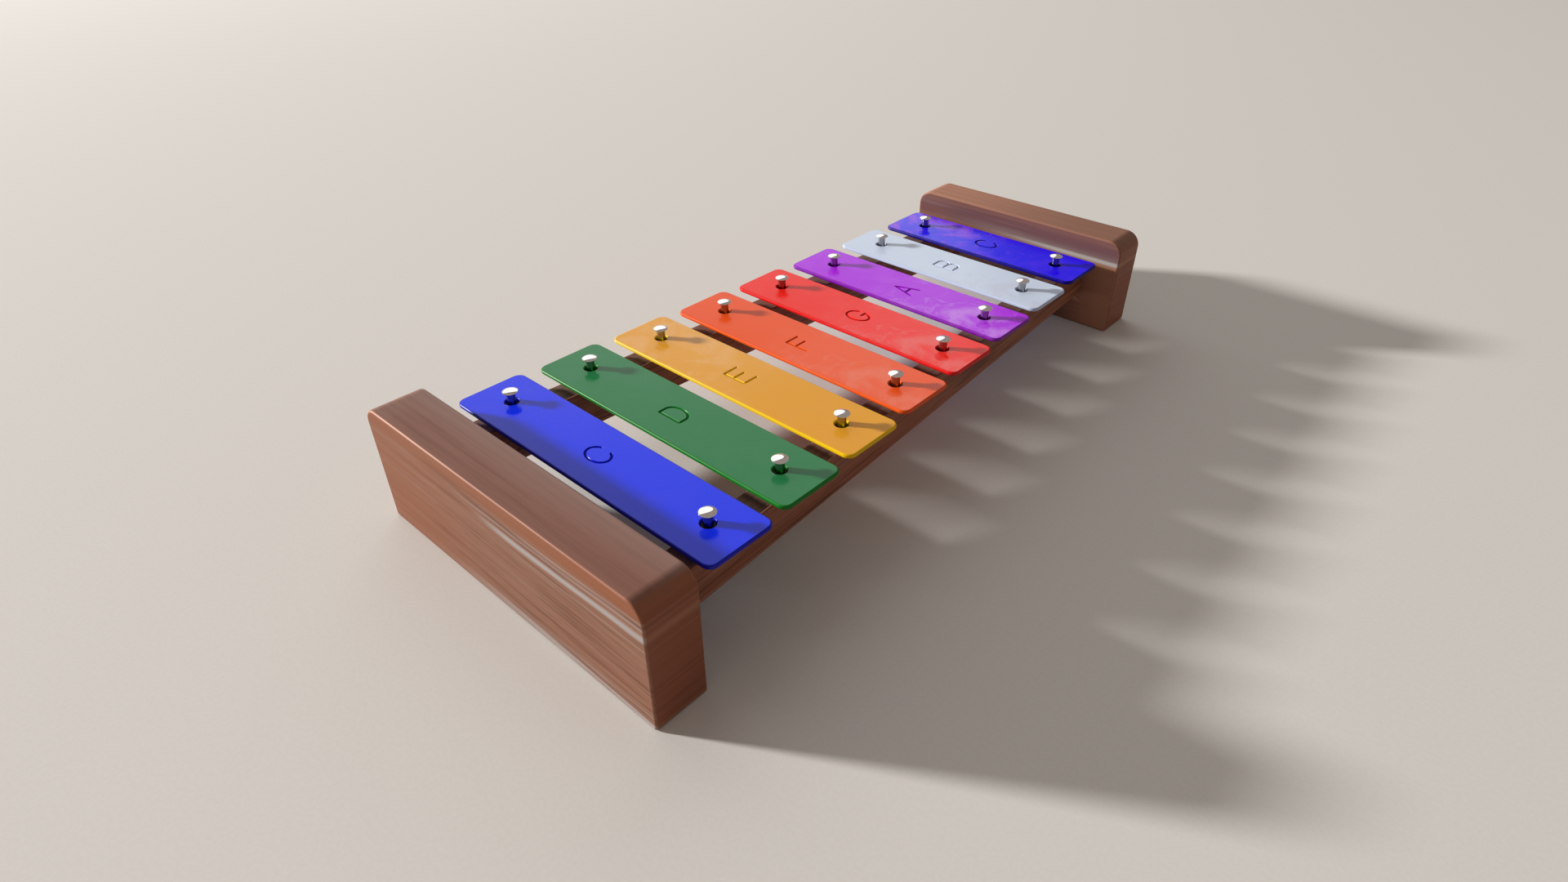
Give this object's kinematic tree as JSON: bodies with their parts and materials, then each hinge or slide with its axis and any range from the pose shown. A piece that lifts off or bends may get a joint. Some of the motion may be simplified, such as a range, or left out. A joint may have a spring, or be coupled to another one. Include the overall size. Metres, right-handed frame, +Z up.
{
  "type": "toy xylophone",
  "caption": "Toy xylophone with coloured metal bars held by domed pins on two converging wooden rails between wooden end blocks.",
  "frame": {"origin": "middle of the footprint, on the table under the wooden end blocks", "axes": "+Z up, +X along the bars, +Y along the row from the longest, lowest bar to the shortest, highest one"},
  "size_m": [0.1274, 0.2862, 0.042],
  "materials": {
    "block_wood": "oiled, fine straight grain along X with pale streaks",
    "rail_wood": "oiled, fine straight grain along the rail",
    "dowel_wood": "plain turned beech",
    "blue_enamel": "glossy enamel over sheet metal",
    "green_enamel": "glossy enamel over sheet metal",
    "yellow_enamel": "glossy enamel over sheet metal",
    "orange_enamel": "glossy enamel over sheet metal",
    "red_enamel": "glossy enamel over sheet metal",
    "purple_enamel": "glossy enamel over sheet metal",
    "white_enamel": "glossy enamel over sheet metal",
    "pin_chrome": "polished",
    "felt": "pressed wool felt"
  },
  "bodies": {
    "frame": {"near_end_block": "block_wood", "far_end_block": "block_wood", "left_rail": "rail_wood", "right_rail": "rail_wood", "near_dowels": "dowel_wood", "far_dowels": "dowel_wood", "left_pin_c_low": "pin_chrome", "left_pin_d": "pin_chrome", "left_pin_e": "pin_chrome", "left_pin_f": "pin_chrome", "left_pin_g": "pin_chrome", "left_pin_a": "pin_chrome", "left_pin_b": "pin_chrome", "left_pin_c_high": "pin_chrome", "right_pin_c_low": "pin_chrome", "right_pin_d": "pin_chrome", "right_pin_e": "pin_chrome", "right_pin_f": "pin_chrome", "right_pin_g": "pin_chrome", "right_pin_a": "pin_chrome", "right_pin_b": "pin_chrome", "right_pin_c_high": "pin_chrome", "left_felt_c_low": "felt", "left_felt_d": "felt", "left_felt_e": "felt", "left_felt_f": "felt", "left_felt_g": "felt", "left_felt_a": "felt", "left_felt_b": "felt", "left_felt_c_high": "felt", "right_felt_c_low": "felt", "right_felt_d": "felt", "right_felt_e": "felt", "right_felt_f": "felt", "right_felt_g": "felt", "right_felt_a": "felt", "right_felt_b": "felt", "right_felt_c_high": "felt"},
    "loose_bar_c_low": {"bar_c_low": "blue_enamel"},
    "loose_bar_d": {"bar_d": "green_enamel"},
    "loose_bar_e": {"bar_e": "yellow_enamel"},
    "loose_bar_f": {"bar_f": "orange_enamel"},
    "loose_bar_g": {"bar_g": "red_enamel"},
    "loose_bar_a": {"bar_a": "purple_enamel"},
    "loose_bar_b": {"bar_b": "white_enamel"},
    "loose_bar_c_high": {"bar_c_high": "blue_enamel"}
  },
  "joints": [
    {"name": "bar_c_low_lift", "type": "slide", "parent": "frame", "child": "loose_bar_c_low", "axis": [0, 0, 1], "range_m": [0, 0.0034]},
    {"name": "bar_d_lift", "type": "slide", "parent": "frame", "child": "loose_bar_d", "axis": [0, 0, 1], "range_m": [0, 0.0034]},
    {"name": "bar_e_lift", "type": "slide", "parent": "frame", "child": "loose_bar_e", "axis": [0, 0, 1], "range_m": [0, 0.0034]},
    {"name": "bar_f_lift", "type": "slide", "parent": "frame", "child": "loose_bar_f", "axis": [0, 0, 1], "range_m": [0, 0.0034]},
    {"name": "bar_g_lift", "type": "slide", "parent": "frame", "child": "loose_bar_g", "axis": [0, 0, 1], "range_m": [0, 0.0034]},
    {"name": "bar_a_lift", "type": "slide", "parent": "frame", "child": "loose_bar_a", "axis": [0, 0, 1], "range_m": [0, 0.0034]},
    {"name": "bar_b_lift", "type": "slide", "parent": "frame", "child": "loose_bar_b", "axis": [0, 0, 1], "range_m": [0, 0.0034]},
    {"name": "bar_c_high_lift", "type": "slide", "parent": "frame", "child": "loose_bar_c_high", "axis": [0, 0, 1], "range_m": [0, 0.0034]}
  ]
}
